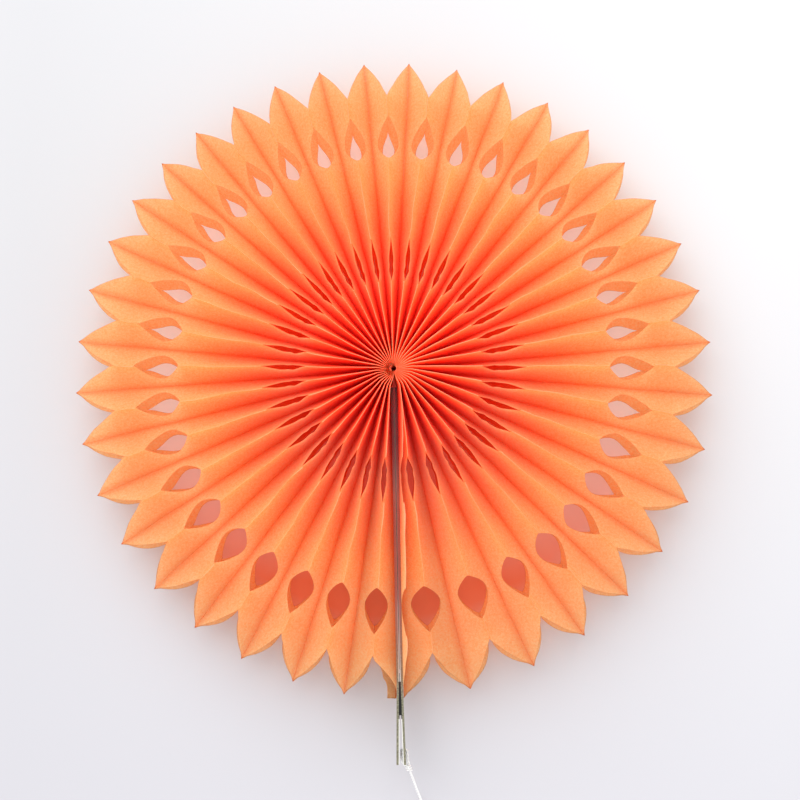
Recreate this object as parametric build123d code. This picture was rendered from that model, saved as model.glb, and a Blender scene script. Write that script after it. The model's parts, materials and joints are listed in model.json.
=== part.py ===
"""A paper fan rosette: a bound pad of die-cut tissue leaves, opened through a full turn.

Each tissue leaf is a long strip, glued to the leaf on one side along its middle and to the leaf on the
other side along both of its long edges. Opened out, the pad becomes a ring of diamond-section cells:
the edges stand up as ridges on the front and the back, and the middles lie in the valleys between.
The fan lies face up, with +Z out of its face and the handle towards -Y.
"""
import os
from math import asin, cos, pi, radians, sin, sqrt, tan

from build123d import *

# Tissue pad, in millimetres
paper = 0.10
cell_count = 38
tip_radius = 150.0
notch_radius = 127.5

# Half the width of a leaf, for each mm of half an even spacing of two petal tips
leaf_fullness = 1.43533

# Glue and binding
glue_band = 1.0
bound_edge_slack = 0.002

# How far hand spreading has carried the glued lines past an even spread, in degrees, once round the fan
spread_ahead = (
    *(0.0, 4.8, 6.7, 7.7, 8.5, 8.8, 8.2, 7.3, 6.5, 5.5),
    *(3.4, 1.7, -0.3, -1.8, -1.5, -1.8, -1.4, -0.5, 0.4, 0.0),
)

# Die-cut shapes on every ridge, as distances from the hub and a depth from the ridge
slit_inner = 40.5
slit_outer = 61.0
slit_depth = 5.4
hole_inner = 99.0
hole_outer = 118.8
hole_depth = 10.8

# Greyboard strips, what holds them together, and their lean from straight down
board_thickness = 1.3
board_half_width = 7.0
board_inner = 8.0
board_gap = 0.3
board_lean = radians(1.3)
handle_length = 27.7
handle_splay = 0.72
splay_at_petals = 0.12
splay_inside_tip = 8.0
petal_clearance = 0.5
tape_inner = 20.0
tape_before_splay = 6.0
tape_half_width = 5.0
pad_length = 16.0
pad_before_splay = 2.0
end_leaf_unglued = 0.5
end_leaf_curl = 1.8
end_leaf_curl_share = 0.25

# Thread that binds the inner edges
thread_height = 2.4
thread_thickness = 0.5
thread_clearance = 0.03

# Hanging string: its loop through the right board, its knot, and the coil of what is put away
string_diameter = 1.25
string_length = 450.0
string_hole_radius = 1.1
string_hole_from_end = 5.0
loop_clearance = 0.06
knot_radius = 1.5
knot_length = 3.4
knot_rounding = 0.8
knot_past_board = 3.4
knot_drop = 0.6
coil_radius = 7.2
coil_rounding = 0.9
coil_from_knot = (2.92, -37.73)
string_reach = (10.72, -32.73)

leaf_half_width = leaf_fullness * pi * tip_radius / cell_count
board_outer = tip_radius + handle_length
handle_start = tip_radius - splay_inside_tip
handle_bend = tip_radius + petal_clearance
tape_outer = handle_start - tape_before_splay
pad_inner = handle_start - pad_before_splay
pad_outer = pad_inner + pad_length
board_pack = board_gap / 2 + board_thickness
hub_radius = (2 * cell_count + 1) * (paper + bound_edge_slack) / (2 * pi)
middle = Vector(0, 0, leaf_half_width)

# A cut is (share of its length, share of its depth), from the hub outwards
slit_shape = ((0, 0), (0.2, 0.55), (0.54, 1), (1, 0))
hole_shape = ((0, 0), (0.14, 0.6), (0.38, 1), (0.78, 0.6), (1, 0))
hole_narrows = 0.2
hole_widens = 0.65
petal_shape = ((0, 1), (0.55, 0.58), (1, 0))

# The free string falls from its knot: shares of its reach to the right, downwards and of its height
string_shape = ((0.16, 0.16, 0.77), (0.34, 0.35, 0.46), (0.56, 0.55, 0.2), (0.78, 0.75, 0.05), (1, 1, 0))


def place(radius, angle):
    """A point of the plan. The angle runs anticlockwise from the middle of the boards."""
    return Vector(radius * sin(board_lean + angle), -radius * cos(board_lean + angle), 0)


def splay(radius):
    """How far a board stands away from its straight line, at a distance from the hub."""
    if radius < handle_bend:
        return splay_at_petals * max(0, radius - handle_start) / (handle_bend - handle_start)
    more = handle_splay - splay_at_petals
    return splay_at_petals + more * (radius - handle_bend) / (board_outer - handle_bend)


def from_boards(radius, at_hub, on_board):
    """The angle at which a line leaves the hub and then runs along a board's face."""
    along = min(1, (radius - hub_radius) / (board_inner - hub_radius))
    return asin((at_hub + (on_board - at_hub) * along + splay(radius)) / radius)


def ahead(number):
    """How far a glued line has been spread past its even place, in radians, well away from the hub."""
    along = number * (len(spread_ahead) - 1) / cell_count
    before = min(int(along), len(spread_ahead) - 2)
    near, far = spread_ahead[before : before + 2]
    return radians(near + (far - near) * (along - before))


def valley(number, radius):
    """A point on a glued middle line: valley 0 lies on the right board, the last one on the left."""
    first = from_boards(radius, paper, board_pack + paper)
    last = 2 * pi - from_boards(radius, 0, board_pack)
    even = first + (last - first) * number / cell_count
    return place(radius, even + ahead(number) * (1 - hub_radius / radius))


def ridge(number, radius):
    """A point on the glued edges of a cell, midway between its two valleys."""
    between = (valley(number, radius) + valley(number + 1, radius)) / 2
    return between * (radius / between.length)


def cut(start, end, depth, shape):
    """The points of a die-cut shape, as distances from the hub and from the leaf's middle line."""
    return [(start + (end - start) * along, leaf_half_width - depth * deep) for along, deep in shape]


def leaf_outline():
    """Half of a leaf's outline from the hub to its tip."""
    petal = [
        (notch_radius + (tip_radius - notch_radius) * along, leaf_half_width * wide)
        for along, wide in petal_shape
    ]
    return [
        (hub_radius, leaf_half_width),
        (board_inner, leaf_half_width),
        *cut(slit_inner, slit_outer, slit_depth, slit_shape),
        *cut(hole_inner, hole_outer, hole_depth, hole_shape),
        *petal,
    ]


def fold_outline(outline, band):
    """Where the leaf bends away from its glued band, and the same outline stopped at that band."""
    (inside, wide), (tip, _) = outline[-2:]
    band_end = tip - (tip - inside) * band / wide
    slit_middle = (slit_inner + slit_outer) / 2
    hole_length = hole_outer - hole_inner
    hole_bends = (hole_inner + hole_narrows * hole_length, hole_inner + hole_widens * hole_length)
    fold = [(radius, band) for radius in (hub_radius, board_inner, slit_middle, *hole_bends, band_end)]
    return fold, outline[:-1]


def strip_triangles(inner, outer):
    """Triangles between two chains of points that both run outwards and end side by side."""
    i = j = 0
    triangles = []
    while i < len(inner) - 1 or j < len(outer) - 1:
        inner_next = inner[i + 1][0] if i < len(inner) - 1 else 2 * tip_radius
        outer_next = outer[j + 1][0] if j < len(outer) - 1 else 2 * tip_radius
        if inner_next < outer_next:
            triangles.append((inner[i], inner[i + 1], outer[j]))
            i += 1
        else:
            triangles.append((inner[i], outer[j + 1], outer[j]))
            j += 1
    return triangles


def leaf(fold_at, edge_at, band):
    """One die-cut sheet, bent along its glued band, from the plan of its band and of its edges."""
    outline = leaf_outline()
    fold, free = fold_outline(outline, band)
    tip = (tip_radius, 0)

    def skin(point, side, layer):
        radius, from_middle = point
        start = fold_at(radius)
        across = edge_at(radius) - start
        run = across.length - paper
        across = across.normalized()
        rise = sqrt((leaf_half_width - band) ** 2 - run**2)
        bent = max(0, from_middle - band) / (leaf_half_width - band)
        height = min(from_middle, band) + bent * rise
        return start + across * (bent * run + layer * paper) + Vector(0, 0, side * height)

    front = [[(p, 1) for p in triangle] for triangle in strip_triangles(fold, free)]
    back = [[(p, -1) for p in reversed(triangle)] for triangle in strip_triangles(fold, free)]
    flat = []
    for near, far in zip(fold, fold[1:]):
        flat.append([(near, -1), (far, 1), (near, 1)])
        flat.append([(near, -1), (far, -1), (far, 1)])
    flat.append([(fold[-1], -1), (tip, 1), (fold[-1], 1)])
    surface = front + back + flat

    rim = [(p, 1) for p in (fold[0], *free, fold[-1], tip)]
    rim += [(p, -1) for p in (fold[-1], *reversed(free), fold[0])]
    faces = []
    for triangle in surface:
        for layer in (0, 1):
            faces.append(Face(Wire.make_polygon([skin(p, side, layer) for p, side in triangle])))
    for here, there in zip(rim, rim[1:] + rim[:1]):
        a, b = (skin(*here, 0), skin(*there, 0))
        c, d = (skin(*there, 1), skin(*here, 1))
        faces.append(Face(Wire.make_polygon([a, b, c])))
        faces.append(Face(Wire.make_polygon([a, c, d])))
    return Solid(Shell(faces)).moved(Pos(*middle))


def cell(number):
    """The two leaves of one cell, glued together along the front and the back ridge."""
    return [
        leaf(lambda r: valley(number, r), lambda r: ridge(number, r), glue_band),
        leaf(lambda r: valley(number + 1, r), lambda r: ridge(number, r), glue_band),
    ]


def board_face(radius):
    """The plan of the right board's outer face."""
    return place(radius, from_boards(radius, 0, board_pack))


def end_leaf():
    """The first leaf: glued flat on the right board, with its free edges curling away from it."""

    def edge_at(radius):
        across = ridge(0, radius) - board_face(radius)
        curl = min(end_leaf_curl, end_leaf_curl_share * max(0, across.length - 2 * paper))
        return board_face(radius) + across.normalized() * (curl + paper)

    return leaf(board_face, edge_at, board_half_width - end_leaf_unglued)


def board_plane():
    """The plan at mid-height with x running out along the boards and y to their right."""
    return Plane(origin=middle, x_dir=place(1, 0), z_dir=(0, 0, 1))


def board(side):
    """One greyboard strip, from near the hub to the end of the handle, which bends a little outwards."""
    bends = (board_inner, handle_start, handle_bend, board_outer)
    inside = [(radius, side * (board_gap / 2 + splay(radius))) for radius in bends]
    outside = [(radius, side * (board_pack + splay(radius))) for radius in bends]
    outline = Polyline(*inside, *reversed(outside), close=True)
    return extrude(board_plane() * make_face(outline), board_half_width, both=True)


def string_hole():
    """The punched hole near the end of the right board, as the pin that cuts it."""
    centre = board_plane().from_local_coords((board_outer - string_hole_from_end, 0, 0))
    return extrude(Plane(centre, z_dir=place(1, pi / 2)) * Circle(string_hole_radius), 3 * board_pack)


def strip_between_boards(start, end, half_width):
    """A strip of double-sided tape that fills the gap between the boards."""
    outline = Pos((start + end) / 2, 0) * Rectangle(end - start, board_gap)
    return extrude(board_plane() * outline, half_width, both=True)


def fastening_pad():
    """The dark adhesive pad at the start of the handle, where the boards begin to part."""
    bends = (pad_inner, handle_start, handle_bend, pad_outer)
    right = [(radius, board_gap / 2 + splay(radius)) for radius in bends]
    left = [(radius, -board_gap / 2 - splay(radius)) for radius in bends]
    outline = Polyline(*right, *reversed(left), close=True)
    return extrude(board_plane() * make_face(outline), board_half_width, both=True)


def centre_thread():
    """The thread wound inside the hub, to which the inner edges of all the leaves are bound."""
    outside = hub_radius - thread_clearance
    ring = Circle(outside) - Circle(outside - thread_thickness)
    return extrude(Plane(middle) * ring, thread_height / 2, both=True)


def knot_place():
    """The knot's middle, just past the end of the right board, beside its outer face."""
    right = board_pack + handle_splay + string_diameter
    return board_plane().from_local_coords((board_outer + knot_past_board, right, -knot_drop))


def hanging_loop():
    """The loop of string through the punched hole and round the board, with the knot that closes it."""
    string_radius = string_diameter / 2
    hole_at = board_outer - string_hole_from_end
    beside_inner = board_gap / 2 + handle_splay - string_radius - loop_clearance
    beside_outer = board_pack + handle_splay + string_radius + loop_clearance
    knot = knot_place()
    apart = place(string_radius, pi / 2)
    leg = board_outer + string_radius
    corners = [(leg, beside_outer), (hole_at, beside_outer), (hole_at, beside_inner), (leg, beside_inner)]
    points = [board_plane().from_local_coords((x, y, 0)) for x, y in corners]
    bends = [string_diameter, 0.9 * string_diameter, 0.9 * string_diameter, string_diameter]
    path = FilletPolyline(knot + apart, *points, knot - apart, radius=bends)
    tube = sweep(Plane(path @ 0, z_dir=path % 0) * Circle(string_radius), path)
    ball = fillet(Cylinder(knot_radius, knot_length).edges(), knot_rounding)
    return tube + Plane(knot, z_dir=string_points()[1] - knot) * ball


def string_points():
    """The route of the free string, as points chosen along it, from the knot to the coil."""
    knot = knot_place()
    right, down = string_reach
    height = knot.Z - string_diameter / 2
    return [knot, *(knot + Vector(right * x, down * y, height * (z - 1)) for x, y, z in string_shape)]


def string_path():
    """Straight runs joined by arcs, each as large as its two runs allow."""
    points = string_points()
    points[0] += (points[1] - points[0]).normalized() * knot_length / 2
    radii = []
    for before, here, after in zip(points, points[1:], points[2:]):
        turn = radians((here - before).get_angle(after - here))
        radii.append(0.45 * min((here - before).length, (after - here).length) / tan(turn / 2))
    print("string radii", [round(radius, 1) for radius in radii])
    return FilletPolyline(*points, radius=radii)


def string_coil():
    """The outer shape of the coiled string: its turns lie beside and on each other."""
    turns = (string_length - string_path().length) / (2 * pi * coil_radius)
    side = string_diameter * sqrt(turns)
    ring = Circle(coil_radius + side / 2) - Circle(coil_radius - side / 2)
    centre = Vector(knot_place().X, knot_place().Y) + Vector(*coil_from_knot)
    coil = extrude(Pos(*centre) * ring, side)
    return fillet(coil.edges(), coil_rounding)


def string_run():
    """The free string, ended where it meets the coil."""
    path = string_path()
    tube = sweep(Plane(path @ 0, z_dir=path % 0) * Circle(string_diameter / 2), path)
    expected = path.length * pi * string_diameter**2 / 4
    print("string run", round(path.length, 1), "mm, volume share", round(tube.volume / expected, 3))
    return tube - string_coil()


nodes = {f"tissue_cell_{number + 1:02d}": cell(number) for number in range(cell_count)}
nodes["end_leaf"] = [end_leaf()]
nodes["left_board"] = [board(-1)]
nodes["right_board"] = [board(1) - string_hole()]
nodes["joining_tape"] = [strip_between_boards(tape_inner, tape_outer, tape_half_width)]
nodes["fastening_pad"] = [fastening_pad()]
nodes["centre_thread"] = [centre_thread()]
on_surface = Compound([solid for solids in nodes.values() for solid in solids]).bounding_box()
nodes["hanging_loop"] = [hanging_loop()]
nodes["string_run"] = [string_run()]
nodes["string_coil"] = [string_coil()]

# The origin is the middle of the underside of everything but the string
to_origin = Pos(-on_surface.center().X, -on_surface.center().Y, -on_surface.min.Z)
os.makedirs("parts", exist_ok=True)
for name, solids in nodes.items():
    export_step(to_origin * Compound(solids), f"parts/{name}.step")
print("hub at", to_origin.position, "box", on_surface.size)
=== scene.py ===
"""A paper fan rosette of die-cut tissue, laid face up on a white table and lit softly from its upper left."""

import json
from math import atan2, cos, pi, radians, sin

import bmesh
import bpy
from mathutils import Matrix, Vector

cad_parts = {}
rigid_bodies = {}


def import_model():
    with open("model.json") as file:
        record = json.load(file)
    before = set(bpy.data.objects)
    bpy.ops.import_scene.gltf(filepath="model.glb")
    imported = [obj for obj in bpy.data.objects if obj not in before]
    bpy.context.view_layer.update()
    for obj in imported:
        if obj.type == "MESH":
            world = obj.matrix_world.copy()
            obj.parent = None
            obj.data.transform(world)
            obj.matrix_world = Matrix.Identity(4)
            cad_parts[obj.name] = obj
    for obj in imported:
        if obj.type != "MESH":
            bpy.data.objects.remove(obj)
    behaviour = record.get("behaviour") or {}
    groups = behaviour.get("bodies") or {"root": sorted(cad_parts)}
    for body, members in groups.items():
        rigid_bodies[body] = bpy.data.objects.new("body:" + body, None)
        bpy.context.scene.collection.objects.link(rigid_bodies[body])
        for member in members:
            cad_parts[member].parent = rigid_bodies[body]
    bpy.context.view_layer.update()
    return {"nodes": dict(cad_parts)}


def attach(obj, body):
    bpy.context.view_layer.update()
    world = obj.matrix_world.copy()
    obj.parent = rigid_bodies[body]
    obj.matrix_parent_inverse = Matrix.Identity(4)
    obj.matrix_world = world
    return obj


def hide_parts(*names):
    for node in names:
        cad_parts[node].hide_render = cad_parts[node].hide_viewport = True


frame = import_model()

# Camera: above the fan and a little to its handle's side, tipped back so that the handle comes nearer.
# Its frame is shifted, because the picture was trimmed more at its top than at its bottom.
hub = Vector((0.001005, 13.9325, 17.8)) / 1000  # the fan's middle, at half its depth
picture_width, focal_length = 800, 1137  # in pixels, as the shifts are
shift_right, shift_up = 14.24, -55.4
sensor_width = 36
shown = bpy.context.scene.collection.objects
camera = bpy.data.objects.new("camera", bpy.data.cameras.new("camera"))
shown.link(camera)
camera.location = hub + Vector((0, -0.044, 0.534))
camera.rotation_euler = (radians(6.06), radians(0.38), radians(0.23))
camera.data.sensor_width = sensor_width
camera.data.lens = sensor_width * focal_length / picture_width
camera.data.shift_x = shift_right / picture_width
camera.data.shift_y = shift_up / picture_width
camera.data.clip_start = 0.01
bpy.context.scene.camera = camera
bpy.context.scene.view_settings.view_transform = "Standard"


# Hanging string: 450 mm of white two-ply cotton, knotted behind the right board's end.
# It falls from the knot to the table and runs to a neat coil, which is how it is packed.
maths, vectors, remap = "ShaderNodeMath", "ShaderNodeVectorMath", "ShaderNodeMapRange"
noise, mix = "ShaderNodeTexNoise", "ShaderNodeMix"


def adder(tree):
    """What adds a node to one tree, with its settings and its links."""

    def add(kind, inputs=(), **settings):
        """Inputs are named, or listed in the order of those in use. A node stands for its first output."""
        new = tree.nodes.new(kind)
        for name, value in settings.items():
            setattr(new, name, value)
        if isinstance(inputs, dict):
            pairs = [(new.inputs[name], value) for name, value in inputs.items()]
        else:
            pairs = list(zip([socket for socket in new.inputs if socket.enabled], inputs))
        for socket, value in pairs:
            for source in value if isinstance(value, list) else [value]:
                if isinstance(source, bpy.types.Node):
                    source = next(output for output in source.outputs if output.enabled)
                if isinstance(source, bpy.types.NodeSocket):
                    tree.links.new(source, socket)
                else:
                    socket.default_value = source
        return new

    return add


def new_material(name):
    """An empty material, and what adds nodes to it."""
    material = bpy.data.materials.new(name)
    material.use_nodes = True
    material.node_tree.nodes.clear()
    return material, adder(material.node_tree)


def new_tree(name, sizes):
    """A geometry tree that takes and gives one mesh or curve, what adds nodes to it, and its inputs."""
    tree = bpy.data.node_groups.new(name, "GeometryNodeTree")
    tree.interface.new_socket("Geometry", in_out="OUTPUT", socket_type="NodeSocketGeometry")
    tree.interface.new_socket("Geometry", in_out="INPUT", socket_type="NodeSocketGeometry")
    for label, kind in sizes.items():
        tree.interface.new_socket(label, in_out="INPUT", socket_type=kind)
    add = adder(tree)
    return tree, add, add("NodeGroupInput").outputs


def linear_colour(code):
    """A colour written as #RRGGBB, as the linear values that shaders take."""
    parts = [int(code[i : i + 2], 16) / 255 for i in (1, 3, 5)]
    return (*(c / 12.92 if c <= 0.04045 else ((c + 0.055) / 1.055) ** 2.4 for c in parts), 1)


def made_with(tree, start, name, values):
    """The plain mesh that a geometry tree makes from a starting object, which is then taken away."""
    shown.link(start)
    modifier = start.modifiers.new("shape", "NODES")
    modifier.node_group = tree
    for item in tree.interface.items_tree:
        if item.in_out == "INPUT" and item.name in values:
            modifier[item.identifier] = values[item.name]
    mesh = bpy.data.meshes.new_from_object(start.evaluated_get(bpy.context.evaluated_depsgraph_get()))
    bpy.data.objects.remove(start)
    mesh.name = name
    piece = bpy.data.objects.new(name, mesh)
    shown.link(piece)
    return piece


def nurbs_route(name, points):
    """A smooth open spline whose control points are the given ones, in metres."""
    curve = bpy.data.curves.new(name, "CURVE")
    curve.dimensions = "3D"
    curve.resolution_u = 8
    spline = curve.splines.new("NURBS")
    spline.points.add(len(points) - 1)
    for point, place in zip(spline.points, points):
        point.co = (*place, 1)
    spline.order_u = 3
    spline.use_endpoint_u = True
    return bpy.data.objects.new(name, curve)


def route_points(route):
    """The points that a route's spline passes through."""
    shown.link(route)
    line = bpy.data.meshes.new_from_object(route.evaluated_get(bpy.context.evaluated_depsgraph_get()))
    shown.unlink(route)
    return [tuple(vertex.co) for vertex in line.vertices]


def cotton_material():
    """White cotton yarn, spun and plied: quite matt, with soft fibres of slightly different whites."""
    material, add = new_material("white cotton string")
    place = add("ShaderNodeTexCoord").outputs["Object"]
    fibre_spacing = 0.33  # in mm, several times the real one, so that fibres show at all
    fibres = add(noise, {"Vector": place, "Scale": 1000 / fibre_spacing, "Detail": 3})
    ramp = add("ShaderNodeValToRGB", [fibres])
    for stop, position, code in zip(ramp.color_ramp.elements, (0.35, 0.65), ("#EDEBEA", "#FFFFFF")):
        stop.position = position
        stop.color = linear_colour(code)
    bump = add("ShaderNodeBump", {"Height": fibres, "Strength": 0.4, "Distance": 0.0001})
    yarn = add("ShaderNodeBsdfPrincipled", {"Base Color": ramp, "Normal": bump, "Roughness": 0.9})
    add("ShaderNodeOutputMaterial", {"Surface": yarn})
    return material


def plies_tree():
    """Two plies that wind round the curve they are given, each a fine round tube."""
    sizes = {
        "Lay length": "NodeSocketFloat",
        "Ply radius": "NodeSocketFloat",
        "Ply offset": "NodeSocketFloat",
        "Step": "NodeSocketFloat",
        "Cotton": "NodeSocketMaterial",
    }
    tree, add, given = new_tree("two plies", sizes)
    steps = {"Curve": given["Geometry"], "Length": given["Step"]}
    fine = add("GeometryNodeResampleCurve", steps, mode="LENGTH")
    along = add("GeometryNodeSplineParameter").outputs["Length"]
    turns = add(maths, [along, given["Lay length"]], operation="DIVIDE")
    tangent = add("GeometryNodeInputTangent")
    normal = add("GeometryNodeInputNormal")
    ring = add("GeometryNodeCurvePrimitiveCircle", {"Resolution": 7, "Radius": given["Ply radius"]})
    plies = []
    for start in (0, pi):
        angle = add(maths, [turns, 2 * pi, start], operation="MULTIPLY_ADD")
        winding = {"Vector": normal, "Axis": tangent, "Angle": angle}
        aside = add("ShaderNodeVectorRotate", winding, rotation_type="AXIS_ANGLE")
        aside = add(vectors, [aside, given["Ply offset"]], operation="SCALE")
        ply = add("GeometryNodeSetPosition", {"Geometry": fine, "Offset": aside})
        tube = {"Curve": ply, "Profile Curve": ring, "Fill Caps": True}
        plies.append(add("GeometryNodeCurveToMesh", tube))
    both = add("GeometryNodeJoinGeometry", [plies])
    whole = add("GeometryNodeRealizeInstances", [both])
    dressed = add("GeometryNodeSetMaterial", {"Geometry": whole, "Material": given["Cotton"]})
    add("NodeGroupOutput", [dressed])
    return tree


board_lean = radians(1.3)  # the boards lie a little off the picture's upright


def plan_point(radius, aside):
    """A place in the plan: a distance from the hub out along the boards and one to their right, in mm."""
    x = radius * sin(board_lean) + aside * cos(board_lean)
    y = -radius * cos(board_lean) + aside * sin(board_lean)
    return Vector((x, y, 0)) / 1000


string_diameter = 1.25
string_length = 450.0
string_level = Vector((0, 0, -0.0006))  # the hole in the board is just behind the fan's middle
knot_radius = 0.0015
coil_radius = 7.2

# From the knot it hangs down to the table: shares of the way right, towards the view's edge, and up
fall = ((0.16, 0.16, 0.77), (0.34, 0.35, 0.46), (0.56, 0.55, 0.2), (0.78, 0.75, 0.05), (1, 1, 0))
fall_right, fall_out = 0.01072, -0.03273
knot = hub + plan_point(181.1, 3.42) + string_level
string_radius = Vector((0, 0, string_diameter / 2000))
height = knot.z - string_radius.z
free = [knot + Vector((fall_right * x, fall_out * y, height * (z - 1))) for x, y, z in fall]
knot_end = knot + (free[0] - knot).normalized() * knot_radius
coil_right, coil_out = 0.00292, -0.03773
coil_centre = Vector((knot.x + coil_right, knot.y + coil_out, string_radius.z))


def coil_points(first, length_left):
    """Turns laid beside and on each other, three to a layer, from where the string comes in."""
    start = atan2(first.y - coil_centre.y, first.x - coil_centre.x)
    places = [(1, 0), (0, 0), (-1, 0), (-1, 1), (0, 1), (1, 1), (1, 2), (0, 2), (-1, 2), (-1, 3)]
    points_a_turn, layer_rise = 16, 0.9
    step = 2 * pi / points_a_turn
    points = []
    count = 1
    while length_left > 0:
        turn = count / points_a_turn
        whole = int(turn)
        # It keeps its place for four fifths of a turn and then moves over to the next
        part = max(0, (turn - whole) * 5 - 4)
        now, after = places[whole], places[min(whole + 1, len(places) - 1)]
        out = now[0] + (after[0] - now[0]) * part
        up = now[1] + (after[1] - now[1]) * part
        radius = coil_radius + out * string_diameter
        angle = start - count * step
        beside = Vector((cos(angle), sin(angle), 0)) * radius / 1000
        points.append(coil_centre + beside + Vector((0, 0, up * string_diameter * layer_rise)) / 1000)
        length_left -= radius * step
        count += 1
    return points


run_length = sum((b - a).length for a, b in zip([knot_end, *free], free)) * 1000
turns = coil_points(free[-1], string_length - run_length)
string_route = nurbs_route("string route", [knot_end, *free, *turns])
string_path = route_points(string_route)
ply_sizes = {
    "Lay length": 0.0034,
    "Ply radius": string_diameter * 0.00025,
    "Ply offset": string_diameter * 0.00026,
    "Step": 0.00045,
    "Cotton": cotton_material(),
}
string = made_with(plies_tree(), string_route, "string", ply_sizes)
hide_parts("string_run", "string_coil")
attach(string, "root")

# Its near end goes through the hole in the right board, round the board's end and into an overhand knot.
# The loop is given in the plan, in mm: how far out along the boards, and how far to their right.
around_board = (
    *((181.9, 3.1), (180.4, 3.7), (178.6, 3.3), (176, 2.78), (173.4, 2.75), (172.7, 2.5), (172.7, 1.8)),
    *((172.7, 1), (172.7, 0.35), (173.4, 0.08), (176, 0.08), (177.8, 0.2), (179, 1), (180.2, 2.2)),
)
loop_points = [hub + plan_point(*place) + string_level for place in around_board]
along_knot = plan_point(1, 0.35).normalized()
beside_knot = Vector((-along_knot.y, along_knot.x, 0))
knot_points, points_a_wrap = 23, 10
wrap_radius, wrap_step = 0.00095, 0.0001
for count in range(knot_points):
    angle = 2 * pi * count / points_a_wrap
    wrap = beside_knot * cos(angle) + Vector((0, 0, sin(angle)))
    loop_points.append(knot + along_knot * (count - knot_points // 2) * wrap_step + wrap * wrap_radius)
loop = made_with(plies_tree(), nurbs_route("loop route", loop_points), "string_loop", ply_sizes)
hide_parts("hanging_loop")
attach(loop, "root")

# Tissue: 77 leaves of orange dyed tissue paper, die cut, glued in turn along their middles and their edges.
# Spreading the pad has bent each leaf between the two, so the glued edges stand up as ridges. Sizes in mm.
cell_count = 38
half_width = 17.8
glued_middle = 1.0
glued_edge = 1.7
pressed_leaf = 0.102
hub_radius = (2 * cell_count + 1) * pressed_leaf / (2 * pi)
tip_radius = 150.0
notch_radius = 127.5
slit = (40.5, 61.0, 7.0)  # where it starts and ends from the hub, and how deep it is cut
hole = (99.0, 119.9, 11.0)
slit_profile = (  # shares of the length and of the depth
    *((0, 0), (0.01, 0.24), (0.1, 0.51), (0.2, 0.79), (0.29, 0.99), (0.36, 0.87), (0.41, 0.83)),
    *((0.5, 0.91), (0.58, 0.89), (0.7, 0.74), (0.82, 0.53), (0.92, 0.35), (0.99, 0.24), (1, 0)),
)
hole_profile = (
    *((0, 0), (0.01, 0.155), (0.05, 0.356), (0.12, 0.574), (0.2, 0.754), (0.29, 0.892), (0.38, 0.96)),
    *((0.47, 0.956), (0.57, 0.898), (0.67, 0.795), (0.77, 0.659), (0.86, 0.508), (0.94, 0.327)),
    *((0.99, 0.155), (1, 0)),
)
spread_ahead = (  # how far each second line is past its even place, in degrees
    *(0.0, 4.8, 6.7, 7.7, 8.5, 8.8, 8.2, 7.3, 6.5, 5.5),
    *(3.4, 1.7, -0.3, -1.8, -1.5, -1.8, -1.4, -0.5, 0.4, 0.0),
)

# The boards between the first and the last leaf: they part a little at the pad and more past it
half_gap = 0.15
board_thickness = 1.3
board_start, pad_start, handle_start, handle_end = 8.0, 142.0, 150.5, 177.7
pad_splay, handle_splay = 0.12, 0.6


def cut_rows(start, end, depth, profile):
    """Rows across a leaf along a die-cut shape: how far from the hub, and how wide the leaf still is."""
    return [(start + (end - start) * along, half_width - depth * deep) for along, deep in profile]


def petal_rows():
    """Rows across a leaf's pointed end, whose sides are a little round."""
    shares = [i / 11 for i in range(1, 12)]
    reach = tip_radius - notch_radius
    roundness, tip_width = 0.42, 0.02
    return [
        (notch_radius + reach * part, max(tip_width, half_width * (1 - part) * (1 + roundness * part)))
        for part in shares
    ]


def flat_leaf():
    """One leaf before it is bent: x runs out from the hub and y is the distance from its middle line."""
    rows = [(radius, half_width) for radius in (hub_radius, 2.4, 4.5, 8, 14, 22, 31, 37)]
    rows += cut_rows(*slit, slit_profile)
    rows += [(radius, half_width) for radius in (67, 75, 84, 92)]
    rows += cut_rows(*hole, hole_profile)
    rows += [(radius, half_width) for radius in (121, 124, notch_radius)]
    rows += petal_rows()
    shares = (0, 0.056, 0.1, 0.19, 0.3, 0.365, 0.48, 0.62, 0.76, 0.88, 0.94, 1)
    across = [-share for share in reversed(shares[1:])] + list(shares)
    mesh = bpy.data.meshes.new("flat leaf")
    corners = [(radius / 1000, wide * share / 1000, 0) for radius, wide in rows for share in across]
    count = len(across)
    faces = [
        (row * count + i, (row + 1) * count + i, (row + 1) * count + i + 1, row * count + i + 1)
        for row in range(len(rows) - 1)
        for i in range(count - 1)
    ]
    mesh.from_pydata(corners, [], faces)
    from_cut = mesh.attributes.new("from_cut", "FLOAT", "POINT")
    from_ridge = mesh.attributes.new("from_ridge", "FLOAT", "POINT")
    from_middle = mesh.attributes.new("from_middle", "FLOAT", "POINT")
    least_cut, far_from_cut = 0.3, 9
    for number, (radius, wide) in enumerate(rows):
        for i, share in enumerate(across):
            gap = wide * (1 - abs(share)) if wide < half_width - least_cut else far_from_cut
            from_cut.data[number * count + i].value = gap
            from_ridge.data[number * count + i].value = half_width - wide * abs(share)
            from_middle.data[number * count + i].value = wide * abs(share)
    return bpy.data.objects.new("flat leaf", mesh)


def ahead(line):
    """How far a line has been spread past its even place, in radians."""
    before = min(int(line / 2), len(spread_ahead) - 2)
    near, far = spread_ahead[before : before + 2]
    return radians(near + (far - near) * (line / 2 - before))


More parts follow.
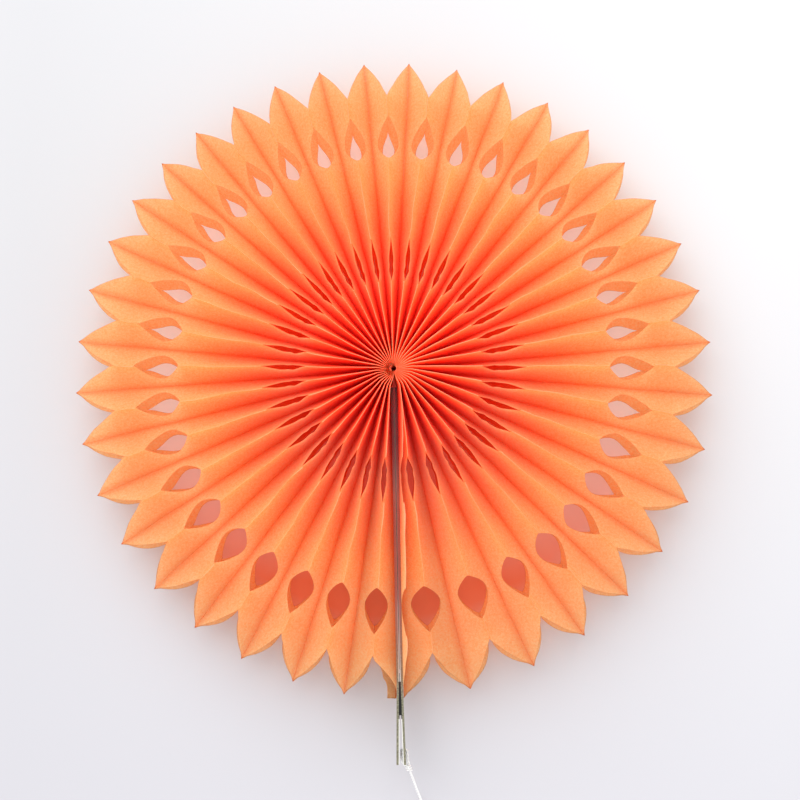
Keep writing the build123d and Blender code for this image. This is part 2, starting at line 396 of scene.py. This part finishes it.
def leaf_list():
    """A point for each leaf, with what bends it: the line it is glued on, the ridge it goes to, and so on."""
    names = ("line", "line_ahead", "ridge", "ridge_ahead", "glued", "reach", "lift", "flare")
    unlimited = 1000
    leaves = []
    for cell in range(cell_count):
        ridge = (cell + 0.5, (ahead(cell) + ahead(cell + 1)) / 2)
        for line in (cell, cell + 1):
            # Each clears the sheet or board that it is glued on, and the petal by the last board turns out
            lift = 0.05 if line in (0, cell_count) else 0.015
            flare = 4.2 if line == cell_count else 0
            leaves.append((line, ahead(line), *ridge, glued_middle, unlimited, lift, flare))
    # The end leaf has no neighbour to hold it open: it is glued flat on its board past its middle, and only
    # its free edge stands off a little
    end_glued, end_reach, end_lift = 6.5, 1.7, -0.05
    leaves.append((0, 0, 0.5, ahead(1) / 2, end_glued, end_reach, end_lift, 0))
    mesh = bpy.data.meshes.new("leaves")
    mesh.from_pydata([(0, 0, 0)] * len(leaves), [], [])
    for i, name in enumerate(names):
        values = mesh.attributes.new(name, "FLOAT", "POINT")
        for leaf, value in enumerate(leaves):
            values.data[leaf].value = value[i]
    return bpy.data.objects.new("leaves", mesh)


def unevenness(add, *places):
    """A smooth random value from about -1 to 1, which follows three values, each with a rate and a start."""
    rated = [add(maths, list(place), operation="MULTIPLY_ADD") for place in places]
    cloud = add(noise, {"Vector": add("ShaderNodeCombineXYZ", rated), "Scale": 1, "Detail": 2})
    return add(maths, [cloud, 4, -2], operation="MULTIPLY_ADD")


def leaves_tree():
    """Places the flat leaf once for each point, and bends each copy between its two glued lines. In mm."""
    sizes = {
        "Leaf": "NodeSocketObject",
        "Hub": "NodeSocketVector",
        "Cells": "NodeSocketFloat",
        "Half width": "NodeSocketFloat",
        "Glued edge": "NodeSocketFloat",
        "Hub radius": "NodeSocketFloat",
        "Board pack": "NodeSocketFloat",
        "Tissue": "NodeSocketMaterial",
    }
    tree, add, given = new_tree("spread leaves", sizes)
    flat = add("GeometryNodeObjectInfo", {"Object": given["Leaf"]}).outputs["Geometry"]
    placed = add("GeometryNodeInstanceOnPoints", {"Points": given["Geometry"], "Instance": flat})
    whole = add("GeometryNodeRealizeInstances", [placed])

    # Where each corner is on the flat leaf, and its leaf's own numbers
    position = add("ShaderNodeSeparateXYZ", [add("GeometryNodeInputPosition")])
    radius = add(maths, [position.outputs["X"], 1000], operation="MULTIPLY")
    from_middle = add(maths, [position.outputs["Y"], 1000], operation="MULTIPLY")
    side = add(maths, [from_middle], operation="SIGN")
    out = add(maths, [from_middle], operation="ABSOLUTE")
    line, line_ahead, ridge, ridge_ahead, glued, longest_reach, lift, flare = (
        add("GeometryNodeInputNamedAttribute", [name], data_type="FLOAT")
        for name in ("line", "line_ahead", "ridge", "ridge_ahead", "glued", "reach", "lift", "flare")
    )

    # The boards hold the first and the last line apart, and the other lines share the turn between them.
    # The end leaf lies between the first line and its board.
    end_leaf_room = 0.1
    opening = add(remap, [radius, 3, board_start])
    splay = add(remap, [radius, pad_start, handle_start, 0, pad_splay])
    beside = add(maths, [given["Board pack"], opening, splay], operation="MULTIPLY_ADD")
    first = add(maths, [beside, end_leaf_room], operation="ADD")
    first = add(maths, [add(maths, [first, radius], operation="DIVIDE")], operation="ARCSINE")
    last = add(maths, [add(maths, [beside, radius], operation="DIVIDE")], operation="ARCSINE")
    last = add(maths, [2 * pi, last], operation="SUBTRACT")
    spacing = add(maths, [last, first], operation="SUBTRACT")
    spacing = add(maths, [spacing, given["Cells"]], operation="DIVIDE")
    away = add(maths, [given["Hub radius"], radius], operation="DIVIDE")
    away = add(maths, [1, away], operation="SUBTRACT")

    def place_of(number, spread):
        """Where a line is at this distance from the hub, and the way round the fan there."""
        angle = add(maths, [spacing, number, first], operation="MULTIPLY_ADD")
        angle = add(maths, [spread, away, angle], operation="MULTIPLY_ADD")
        angle = add(maths, [angle, board_lean], operation="ADD")
        sine, cosine = (add(maths, [angle], operation=kind) for kind in ("SINE", "COSINE"))
        down = add(maths, [cosine, -1], operation="MULTIPLY")
        outwards = add("ShaderNodeCombineXYZ", [sine, down])
        way_round = add("ShaderNodeCombineXYZ", [cosine, sine])
        return add(vectors, [outwards, radius], operation="SCALE"), way_round

    line_at, _ = place_of(line, line_ahead)
    ridge_at, round_fan = place_of(ridge, ridge_ahead)
    across = add(vectors, [ridge_at, line_at], operation="SUBTRACT")
    apart = add(vectors, [across], operation="LENGTH")
    towards = add(vectors, [across], operation="NORMALIZE")
    run = add(maths, [lift, -2, apart], operation="MULTIPLY_ADD")
    run = add(maths, [run, longest_reach], operation="MINIMUM")

    # Across a leaf: upright at its middle and along its glued edge, which ends at the petals, and an easy S
    # from one to the other
    free_width = add(maths, [given["Half width"], glued], operation="SUBTRACT")
    share = add(maths, [out, glued], operation="SUBTRACT")
    share = add(maths, [share, free_width], operation="DIVIDE")
    share = add(maths, [share, 0], operation="MAXIMUM")
    held = add(remap, [radius, 126, 134, 1, 0])
    held = add(maths, [given["Glued edge"], held], operation="MULTIPLY")
    held = add(maths, [held, free_width], operation="DIVIDE")
    bend_end = add(maths, [1, held], operation="SUBTRACT")
    bent = add(maths, [share, bend_end], operation="DIVIDE")
    bent = add(maths, [bent, 1], operation="MINIMUM")
    wave = add(maths, [bent, 2 * pi], operation="MULTIPLY")
    wave = add(maths, [wave], operation="SINE")
    curl = add(remap, [radius, 118, 134, -0.2 / (2 * pi), 0])
    eased = add(maths, [wave, curl, bent], operation="MULTIPLY_ADD")

    # The back half hugs its ridge more, so that it lies flatter: away from the boards, and at the petals
    back = add(maths, [side, 0], operation="LESS_THAN")
    from_boards = add(maths, [given["Cells"], line], operation="SUBTRACT")
    from_boards = add(maths, [line, from_boards], operation="MINIMUM")
    flatter = add(remap, [from_boards, 4, 9, 0, 1.1])
    flatter = add(maths, [add(remap, [radius, 20, 50]), flatter], operation="MULTIPLY")
    petals_flatter = add(maths, [0.9, flatter], operation="SUBTRACT")
    petals_flatter = add(maths, [add(remap, [radius, 127, 136]), petals_flatter], operation="MULTIPLY")
    flatter = add(maths, [flatter, petals_flatter], operation="ADD")
    flatter = add(maths, [flatter, back], operation="MULTIPLY")
    hug = add(maths, [1, eased], operation="SUBTRACT")
    hug = add(maths, [hug, add(maths, [flatter, 1], operation="ADD")], operation="POWER")
    eased = add(maths, [1, hug], operation="SUBTRACT")

    # It stands as high as its width allows: the further its ridge is aside, the lower. The back petals, which
    # lie flatter, reach down less far.
    slope = add(maths, [free_width, bend_end], operation="MULTIPLY")
    slope = add(maths, [run, slope], operation="DIVIDE")
    steep = add(maths, [slope, slope], operation="MULTIPLY")
    steep = add(maths, [1, steep], operation="SUBTRACT")
    steep = add(maths, [add(maths, [steep, 0.08], operation="MAXIMUM")], operation="SQRT")
    rise = add(maths, [share, bend_end], operation="MINIMUM")
    rise = add(maths, [steep, rise], operation="MULTIPLY")
    level = add(maths, [add(remap, [radius, 130, 140, 0, 0.2]), back], operation="MULTIPLY")
    level = add(maths, [1, level], operation="SUBTRACT")
    rise = add(maths, [rise, level], operation="MULTIPLY")
    upright = add(maths, [share, bend_end], operation="SUBTRACT")
    upright = add(maths, [upright, 0], operation="MAXIMUM")
    glued_rise = add(maths, [out, glued], operation="MINIMUM")
    height = add(maths, [rise, upright], operation="ADD")
    height = add(maths, [height, free_width, glued_rise], operation="MULTIPLY_ADD")

    # What hands and damp do to it: wandering ridges and valleys, leaning edges, ripples and uneven petals.
    # It dies out at the hub, where the thread holds every leaf.
    wander_size, crinkle_size, lean_size, valley_size, ripple_size = 0.45, 0.12, 0.35, 0.2, 0.22
    wander = unevenness(add, (radius, 0.07, 0), (ridge, 3.7, 0), (side, 1, 0))
    crinkle = unevenness(add, (radius, 0.3, 0), (ridge, 8.1, 0), (side, 1, 0))
    lean = unevenness(add, (radius, 0.07, 0), (ridge, 5.3, 0), (side, 1, 7))
    valley = unevenness(add, (radius, 0.07, 0), (line, 4.1, 0), (0, 0, 3))
    ripple = unevenness(add, (radius, 0.11, 0), (from_middle, 0.11, 0), (line, 6.1, ridge))
    droop = unevenness(add, (line, 2.9, 0), (0, 0, 0), (0, 0, 5))

    settle = add(remap, [radius, 6, 60])
    wander = add(maths, [wander, wander_size], operation="MULTIPLY")
    wander = add(maths, [crinkle, crinkle_size, wander], operation="MULTIPLY_ADD")
    even_lean = add(remap, [radius, 1, 5, 0, 0.26])
    settled = add(maths, [settle, lean_size], operation="MULTIPLY")
    lean = add(maths, [lean, settled, even_lean], operation="MULTIPLY_ADD")
    edge = add(maths, [upright, free_width], operation="MULTIPLY")
    lean = add(maths, [edge, lean], operation="MULTIPLY")
    valley = add(maths, [valley, valley_size], operation="MULTIPLY")
    valley = add(maths, [valley, add(maths, [1, eased], operation="SUBTRACT")], operation="MULTIPLY")
    shift = add(maths, [wander, eased, valley], operation="MULTIPLY_ADD")
    shift = add(maths, [shift, settle, lean], operation="MULTIPLY_ADD")
    swell = add(maths, [add(maths, [eased, pi], operation="MULTIPLY")], operation="SINE")
    ripple = add(maths, [ripple, swell], operation="MULTIPLY")
    droop = add(maths, [droop, add(remap, [radius, notch_radius, tip_radius])], operation="MULTIPLY")

    # The petal beside the last board: its back half is turned out past the board, its point tucked in
    flared = add(maths, [add(remap, [radius, 134, 142]), add(remap, [out, 0, 0.02])], operation="MULTIPLY")
    flared = add(maths, [add(maths, [flare, back], operation="MULTIPLY"), flared], operation="MULTIPLY")
    tucked = add(maths, [flare, 1], operation="MINIMUM")
    tucked = add(maths, [tucked, add(remap, [radius, 132, 145.4])], operation="MULTIPLY")
    run = add(maths, [run, add(maths, [1, tucked], operation="SUBTRACT")], operation="MULTIPLY")

    reach = add(maths, [run, eased, add(maths, [lift, flared], operation="ADD")], operation="MULTIPLY_ADD")
    settled = add(maths, [settle, ripple_size], operation="MULTIPLY")
    reach = add(maths, [ripple, settled, reach], operation="MULTIPLY_ADD")
    place = add(vectors, [line_at, add(vectors, [towards, reach], operation="SCALE")], operation="ADD")
    place = add(vectors, [place, add(vectors, [round_fan, shift], operation="SCALE")], operation="ADD")
    up = add("ShaderNodeCombineXYZ", {"Z": add(maths, [height, side, droop], operation="MULTIPLY_ADD")})
    place = add(vectors, [place, up], operation="ADD")
    place = add(vectors, [add(vectors, [place, 0.001], operation="SCALE"), given["Hub"]], operation="ADD")

    # The turned-out sheet isn't a valley, so its distance from the middle grows before it is moved
    turned_out = add(maths, [out, flared], operation="ADD")
    marks = {"Geometry": whole, "Name": "from_middle", "Value": turned_out}
    marked = add("GeometryNodeStoreNamedAttribute", marks)
    shaped = add("GeometryNodeSetPosition", {"Geometry": marked, "Position": place})
    smooth = add("GeometryNodeSetShadeSmooth", [shaped])
    dressed = add("GeometryNodeSetMaterial", {"Geometry": smooth, "Material": given["Tissue"]})
    add("NodeGroupOutput", [dressed])
    return tree


def tissue_material():
    """Dyed tissue paper, thin and soft: matt, aglow where light comes through, and cloudy, as pulp is. Its
    colour also holds painted light and shade.
    """
    material, add = new_material("orange tissue paper")
    place = add("ShaderNodeTexCoord").outputs["Object"]
    cloud_size, fibre_size = 1.1, 0.4  # in mm, the fibres a few times thicker than real ones
    cloud = add(noise, {"Vector": place, "Scale": 1000 / cloud_size, "Detail": 4, "Roughness": 0.75})
    fibres = add(noise, {"Vector": place, "Scale": 1000 / fibre_size, "Detail": 2})
    pulp = add(maths, [cloud, 0.65], operation="MULTIPLY")
    pulp = add(maths, [fibres, 0.35, pulp], operation="MULTIPLY_ADD")

    # Where on the fan: from the hub in the plan, up the picture, and across a leaf, which is in mm
    aside = add(vectors, [place, hub], operation="SUBTRACT")
    aside = add(vectors, [aside, (1, 1, 0)], operation="MULTIPLY")
    from_hub = add(vectors, [aside], operation="LENGTH")
    far_side = add(remap, [add("ShaderNodeSeparateXYZ", [place]).outputs["Y"], -0.02, 0.04])
    from_middle, from_ridge, from_cut = (
        add("ShaderNodeAttribute", attribute_name=name).outputs["Fac"]
        for name in ("from_middle", "from_ridge", "from_cut")
    )

    # Painted light: near the hub the colour is painted red, for the light that passes sheet after sheet and
    # turns red, most at the foot of the leaves
    deep = add(remap, [from_hub, 0.02, 0.09, 0.85, 0])
    deep = add(maths, [deep, add(remap, [from_hub, 0.003, 0.012, 0.3, 1])], operation="MULTIPLY")
    # Painted shade: towards the bottom of the picture the red is deeper and reaches further up the leaves
    foot = add(mix, [far_side, linear_colour("#DE3C5E"), linear_colour("#F04462")], data_type="RGBA")
    foot_end = add(remap, [far_side, 0, 1, 7, 2])
    head_start = add(remap, [far_side, 0, 1, 16, 13])
    head = add(remap, [from_middle, foot_end, head_start])
    painted_red_light_colour = add(mix, [head, foot, linear_colour("#FF9A6C")], data_type="RGBA")

    # The fibres' two oranges, then the painted red light, the ridges with a painted highlight, and the
    # valleys with painted shade and their dark lines
    # Painted highlight along the ridges, stronger by the hub; the glued double edge is a little paler as well
    ridge = add(remap, [from_hub, 0.04, 0.08, 0.85, 0.6])
    ridge = add(remap, [from_ridge, 0.2, 1.2, ridge, 0])
    dye_and_painted_light = linear_colour("#FDBA78")
    for share, colour in (
        (add(remap, [pulp, 0.38, 0.62]), linear_colour("#FFD8A4")),
        (deep, painted_red_light_colour),
        (ridge, linear_colour("#FFD9BC")),
        # Painted shade along each valley: a soft darker band, and a dark line in the crease
        (add(remap, [from_middle, 0.5, 5, 0.35, 0]), linear_colour("#F4703A")),
        (add(remap, [from_middle, 0.15, 0.9, 0.9, 0]), linear_colour("#DE5216")),
    ):
        dye_and_painted_light = add(mix, [share, dye_and_painted_light, colour], data_type="RGBA")
    # Paths end after a few bounces, so the pleats by the hub are given back the light that this loses
    dye_and_painted_light = add(vectors, [dye_and_painted_light, add(remap, [from_hub, 0.02, 0.14, 1.16, 1])], operation="SCALE")
    cut_edge = add(remap, [from_cut, 0.05, 0.4, 0.5, 0])
    dye_and_painted_light = add(mix, [cut_edge, dye_and_painted_light, linear_colour("#B5743C")], data_type="RGBA")

    bump = add("ShaderNodeBump", {"Height": pulp, "Strength": 0.25, "Distance": 0.0002})
    paper = {"Base Color": dye_and_painted_light, "Normal": bump, "Roughness": 0.8, "Specular IOR Level": 0.2}
    lit = add("ShaderNodeBsdfPrincipled", paper)
    through = add("ShaderNodeBsdfTranslucent", {"Color": dye_and_painted_light, "Normal": bump})
    let_through = 0.7
    sheet = add("ShaderNodeMixShader", [let_through, lit, through])
    add("ShaderNodeOutputMaterial", {"Surface": sheet})
    return material


leaf_shape = flat_leaf()
leaf_sizes = {
    "Leaf": leaf_shape,
    "Hub": hub,
    "Cells": cell_count,
    "Half width": half_width,
    "Glued edge": glued_edge,
    "Hub radius": hub_radius,
    "Board pack": half_gap + board_thickness,
    "Tissue": tissue_material(),
}
tissue = made_with(leaves_tree(), leaf_list(), "tissue_leaves", leaf_sizes)
bpy.data.objects.remove(leaf_shape)
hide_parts("end_leaf", *(f"tissue_cell_{number + 1:02d}" for number in range(cell_count)))
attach(tissue, "root")


# Boards: two strips of greyboard, which stiffen the pad's ends and make the handle. White paper lines their
# inner faces. Between the pleats they are painted dark red: painted shade and the pleats' red light.
def board_material():
    """Lined greyboard: rough grey-green pulp, with its smooth white lining on the inner face."""
    material, add = new_material("lined greyboard")
    place = add("ShaderNodeTexCoord").outputs["Object"]
    across = add("ShaderNodeAttribute", attribute_name="across_board").outputs["Fac"]
    from_hub = add(vectors, [place, hub], operation="DISTANCE")
    pulp_size = 0.65  # in mm
    pulp = add(noise, {"Vector": place, "Scale": 1000 / pulp_size, "Detail": 4})

    # Painted shade: beside the foam pad the lining is painted as dark as the pad, for the shade in the narrow
    # slot between the boards there
    pad_middle, pad_half = 0.1496, 0.0082
    painted_slot_shade = add(maths, [from_hub, pad_middle, pad_half], operation="COMPARE")
    lining = add(mix, [painted_slot_shade, linear_colour("#E6E4DF"), linear_colour("#0B0A0A")], data_type="RGBA")
    # Painted shade and red light: dark maroon at the hub, lighter further out, fading away past the pad
    painted_red_shade = add(remap, [from_hub, 0.035, 0.06])
    painted_red_shade = add(mix, [painted_red_shade, linear_colour("#702B33"), linear_colour("#964A41")], data_type="RGBA")
    colour = linear_colour("#5F5C4A")
    for share, layer in (
        (add(remap, [pulp, 0.35, 0.65]), linear_colour("#8E8B74")),
        (add(remap, [across, 0.14, 0.3, 1, 0]), lining),
        (add(remap, [from_hub, 0.105, 0.15, 0.9, 0]), painted_red_shade),
    ):
        colour = add(mix, [share, colour, layer], data_type="RGBA")
    bump = add("ShaderNodeBump", {"Height": pulp, "Strength": 0.3, "Distance": 0.0002})
    board = add("ShaderNodeBsdfPrincipled", {"Base Color": colour, "Normal": bump, "Roughness": 0.85})
    add("ShaderNodeOutputMaterial", {"Surface": board})
    return material


def board_piece(name, material):
    """A board with softened cut edges, which knows at each corner how far it is across its thickness."""
    mesh = bpy.data.meshes.new(name)
    shape = bmesh.new()
    shape.from_mesh(frame["nodes"][name].data)
    bmesh.ops.remove_doubles(shape, verts=shape.verts, dist=1e-6)
    bmesh.ops.dissolve_limit(shape, angle_limit=radians(0.2), verts=shape.verts, edges=shape.edges)
    shape.to_mesh(mesh)
    shape.free()
    mesh.materials.clear()
    mesh.materials.append(material)
    values = mesh.attributes.new("across_board", "FLOAT", "POINT")
    for vertex in mesh.vertices:
        place = (vertex.co - hub) * 1000
        along = place.x * sin(board_lean) - place.y * cos(board_lean)
        aside = abs(place.x * cos(board_lean) + place.y * sin(board_lean))
        splay = pad_splay * min(1, max(0, (along - pad_start) / (handle_start - pad_start)))
        splay += handle_splay * max(0, (along - handle_start) / (handle_end - handle_start))
        values.data[vertex.index].value = (aside - half_gap - splay) / board_thickness
    piece = bpy.data.objects.new(name + "_lined", mesh)
    shown.link(piece)
    edge = piece.modifiers.new("softened edges", "BEVEL")
    edge.width = 0.00012
    edge.segments = 2
    edge.limit_method = "ANGLE"
    edge.angle_limit = radians(50)
    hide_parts(name)
    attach(piece, "root")


greyboard = board_material()
for name in ("left_board", "right_board"):
    board_piece(name, greyboard)


# Tape, foam pad and binding thread: what holds the two boards and the pad together. The tape's edge is
# glossier than the foam and the dyed thread, which are matt.
def plain_material(name, code, roughness):
    """One even colour with a faint grain, drawn coarser than the real one."""
    material, add = new_material(name)
    place = add("ShaderNodeTexCoord").outputs["Object"]
    grain_size = 0.4  # in mm
    grain = add(noise, {"Vector": place, "Scale": 1000 / grain_size, "Detail": 2})
    bump = add("ShaderNodeBump", {"Height": grain, "Strength": 0.3, "Distance": 0.0001})
    look = {"Base Color": linear_colour(code), "Normal": bump, "Roughness": roughness}
    add("ShaderNodeOutputMaterial", {"Surface": add("ShaderNodeBsdfPrincipled", look)})
    return material


for name, material in {
    "joining_tape": plain_material("tape edge", "#C9B79A", 0.5),
    "fastening_pad": plain_material("black foam pad", "#090808", 0.8),
    "centre_thread": plain_material("dyed binding thread", "#A3301F", 0.8),
}.items():
    node = frame["nodes"][name]
    node.data.materials.clear()
    node.data.materials.append(material)


# Setting: a white table under an even white room, with a large softbox and a small window at the upper
# left. The fan dyes the light that reaches the table through it, and the table under it is painted with that
# light too.
def floor_material():
    """White table top with painted light and shade: lighter towards the right, darker and cooler towards the
    handle's side; under the fan it is painted with the dyed light and glows.
    """
    material, add = new_material("white table top")
    place = add("ShaderNodeTexCoord").outputs["Object"]
    x, y = add("ShaderNodeSeparateXYZ", [place]).outputs[:2]
    from_hub = add(vectors, [place, (hub.x, hub.y, 0)], operation="DISTANCE")
    to_right = add(remap, [x, -0.18, 0.18])
    sunny = add(remap, [y, -0.085, 0.005])

    # Painted light and shade: lighter towards the right, darker and cooler towards the handle's side
    near = add(mix, [to_right, linear_colour("#C5C4CA"), linear_colour("#CECDD3")], data_type="RGBA")
    bare_with_painted_light = add(mix, [to_right, linear_colour("#C5C5C8"), linear_colour("#D9D9DB")], data_type="RGBA")
    bare_with_painted_light = add(mix, [add(remap, [y, -0.2, 0.1]), near, bare_with_painted_light], data_type="RGBA")
    # Painted light: under the fan the table is painted orange towards the handle's side and pale above, for
    # the dyed light
    dyed = add(mix, [sunny, linear_colour("#E87C58"), linear_colour("#E8E8E8")], data_type="RGBA")
    covered = add(remap, [from_hub, 0.115, 0.14, 0.8, 0])
    colour = add(mix, [covered, bare_with_painted_light, dyed], data_type="RGBA")
    top = add("ShaderNodeBsdfDiffuse", {"Color": colour})

    # Painted light: the table glows below the holes, less on the handle's side, for the white light that
    # comes in under the sheets
    painted_glow_under_holes = add(maths, [add(remap, [from_hub, 0.122, 0.14, 1, 0]), sunny], operation="MULTIPLY")
    painted_glow_under_holes = add(maths, [add(remap, [from_hub, 0.082, 0.094]), painted_glow_under_holes], operation="MULTIPLY")
    top = add("ShaderNodeAddShader", [top, add("ShaderNodeEmission", [linear_colour("#4B7C86"), painted_glow_under_holes])])
    # Painted light: the table glows red under the fan's middle, for the dyed light that many sheets pass on
    # to each other there
    painted_red_glow = add(remap, [from_hub, 0.07, 0.08, 1, 0])
    top = add("ShaderNodeAddShader", [top, add("ShaderNodeEmission", [linear_colour("#731F18"), painted_red_glow])])
    add("ShaderNodeOutputMaterial", {"Surface": top})
    return material


floor_mesh = bpy.data.meshes.new("floor")
floor_mesh.from_pydata([(-2, -2, 0), (2, -2, 0), (2, 2, 0), (-2, 2, 0)], [], [(0, 1, 2, 3)])
floor_mesh.materials.append(floor_material())
floor = bpy.data.objects.new("floor", floor_mesh)
floor.location = (0, 0, -0.0001)
shown.link(floor)

for name, place, size, energy in (
    ("softbox", (-0.45, 1.0, 1.0), 2.0, 17),
    ("window", (-0.75, 1.2, 0.3), 0.55, 3),
):
    lamp = bpy.data.lights.new(name, "AREA")
    lamp.shape = "DISK"
    lamp.size = size
    lamp.energy = energy
    light = bpy.data.objects.new(name, lamp)
    light.location = place
    light.rotation_euler = (hub - light.location).to_track_quat("-Z", "Y").to_euler()
    shown.link(light)
world = bpy.data.worlds.new("room")
world.use_nodes = True
world.node_tree.nodes["Background"].inputs["Color"].default_value = linear_colour("#FFFFFF")
world.node_tree.nodes["Background"].inputs["Strength"].default_value = 1.1
bpy.context.scene.world = world
